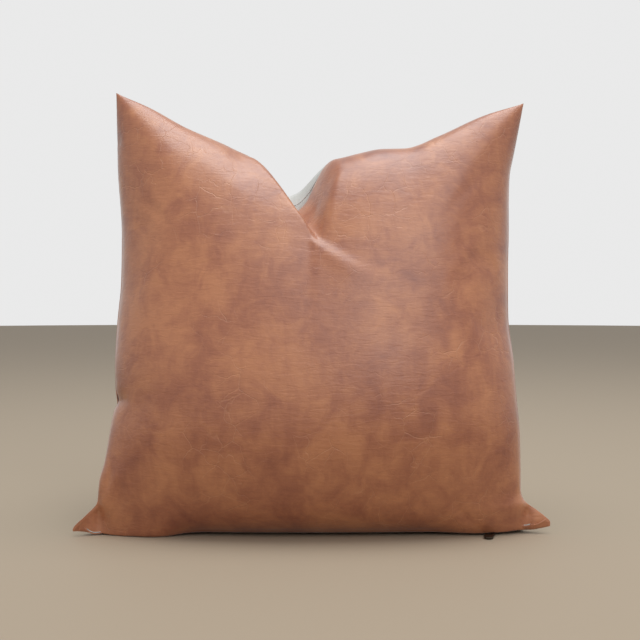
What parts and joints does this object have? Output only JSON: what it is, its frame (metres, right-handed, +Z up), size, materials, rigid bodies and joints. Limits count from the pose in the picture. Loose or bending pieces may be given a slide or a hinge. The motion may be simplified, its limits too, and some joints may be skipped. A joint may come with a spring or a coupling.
{
  "type": "throw pillow",
  "caption": "Square throw pillow standing on its bottom edge, leather-look front, woven back, zipped cover over a loose inner cushion.",
  "frame": {"origin": "on the flat patch under the pillow that rests on the floor, below the middle of the zipped edge", "axes": "+Z up, the leather-look front faces -Y, +X is to the right when looking at the front"},
  "size_m": [0.492, 0.199, 0.46],
  "materials": {
    "faux_leather": "satin",
    "woven_back": "matte",
    "insert_casing": "matte",
    "fibre_filling": "matte",
    "zip_tape": "matte",
    "zip_coil": "satin",
    "dark_metal": "satin",
    "brown_thread": "matte",
    "white_thread": "matte"
  },
  "bodies": {
    "cushion": {"front_panel": "faux_leather", "back_panel": "woven_back", "seam_thread": "brown_thread", "insert_front_panel": "insert_casing", "insert_back_panel": "insert_casing", "insert_seam_thread": "white_thread", "insert_filling": "fibre_filling", "zip_tape_front": "zip_tape", "zip_tape_back": "zip_tape", "zip_teeth_front": "zip_coil", "zip_teeth_back": "zip_coil", "zip_top_stop_front": "dark_metal", "zip_top_stop_back": "dark_metal", "zip_bottom_stop": "dark_metal", "zip_thread_front": "white_thread", "zip_thread_back": "white_thread"},
    "slider": {"zip_slider": "dark_metal"},
    "pull": {"zip_pull": "dark_metal"}
  },
  "joints": [
    {"name": "zip_slide", "type": "slide", "parent": "cushion", "child": "slider", "axis": [-1, 0, 0], "range_m": [0, 0.374], "deforming": ["zip_teeth_front", "zip_teeth_back"]},
    {"name": "pull_swing", "type": "hinge", "parent": "slider", "child": "pull", "pos_m": [0.189, -0.046, 0.0019], "axis": [1, 0, 0], "range_deg": [0, 150]}
  ]
}
